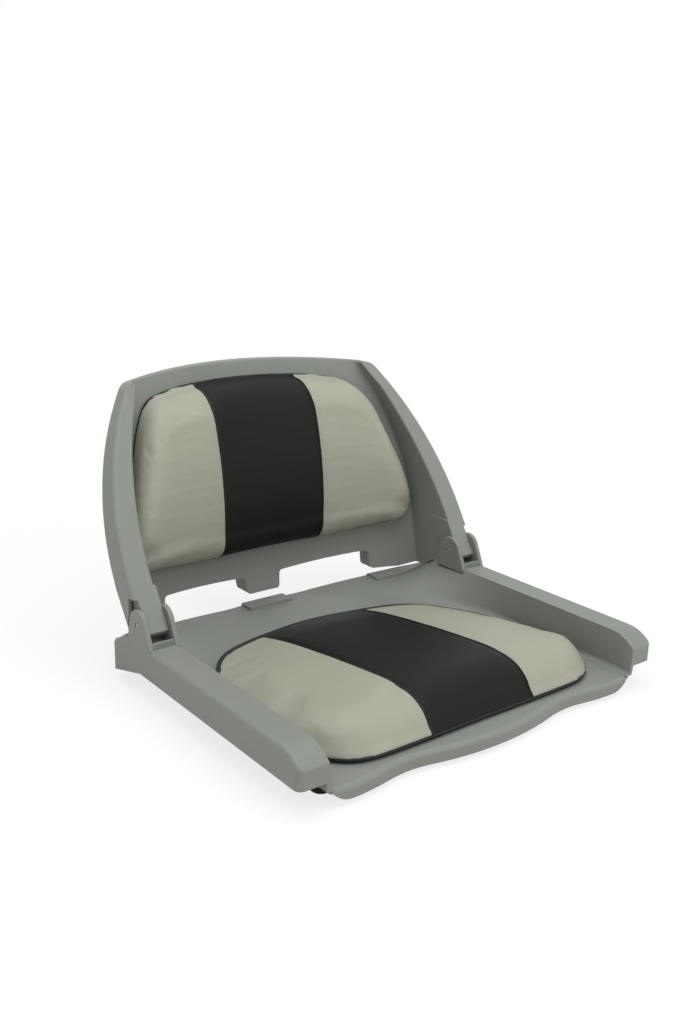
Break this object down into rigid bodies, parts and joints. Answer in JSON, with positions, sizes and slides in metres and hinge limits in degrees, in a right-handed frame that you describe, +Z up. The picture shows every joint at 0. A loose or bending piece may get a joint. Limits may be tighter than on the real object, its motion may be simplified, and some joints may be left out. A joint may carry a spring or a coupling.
{
  "type": "folding boat seat",
  "caption": "Folding boat seat: moulded plastic pan with arms and a waved front lip, a moulded back that folds forward on side hinges, and padded two-tone vinyl cushions.",
  "frame": {"origin": "centre of the square of four mounting holes, on the flat faces of the bosses under the pan", "axes": "+X to the right seen from the front, -Y to the front of the seat, +Z up"},
  "size_m": [0.51, 0.5241, 0.338],
  "materials": {
    "plastic": "fine moulded grain",
    "vinyl_light": "grained marine vinyl",
    "vinyl_dark": "grained marine vinyl",
    "foam": "open foam",
    "board": "sealed plywood",
    "steel": "satin",
    "brass": "turned",
    "rubber": "matt",
    "bush": "natural nylon"
  },
  "bodies": {
    "base": {"seat_pan": "plastic", "mount_inserts": "brass", "rubber_feet": "rubber", "hinge_pin_left": "steel", "hinge_pin_right": "steel", "seat_board": "board", "seat_foam": "foam", "seat_cover_left": "vinyl_light", "seat_cover_centre": "vinyl_dark", "seat_cover_right": "vinyl_light", "seat_welts": "vinyl_dark", "seat_screws": "steel", "seat_tnuts": "steel"},
    "back": {"back_frame": "plastic", "hinge_bush_left": "bush", "hinge_bush_right": "bush", "back_board": "board", "back_foam": "foam", "back_cover_left": "vinyl_light", "back_cover_centre": "vinyl_dark", "back_cover_right": "vinyl_light", "back_welts": "vinyl_dark", "back_screws": "steel", "back_tnuts": "steel"}
  },
  "joints": [
    {"name": "back_fold", "type": "hinge", "parent": "base", "child": "back", "pos_m": [0, 0.124, 0.087], "axis": [1, 0, 0], "range_deg": [0, 122]}
  ]
}
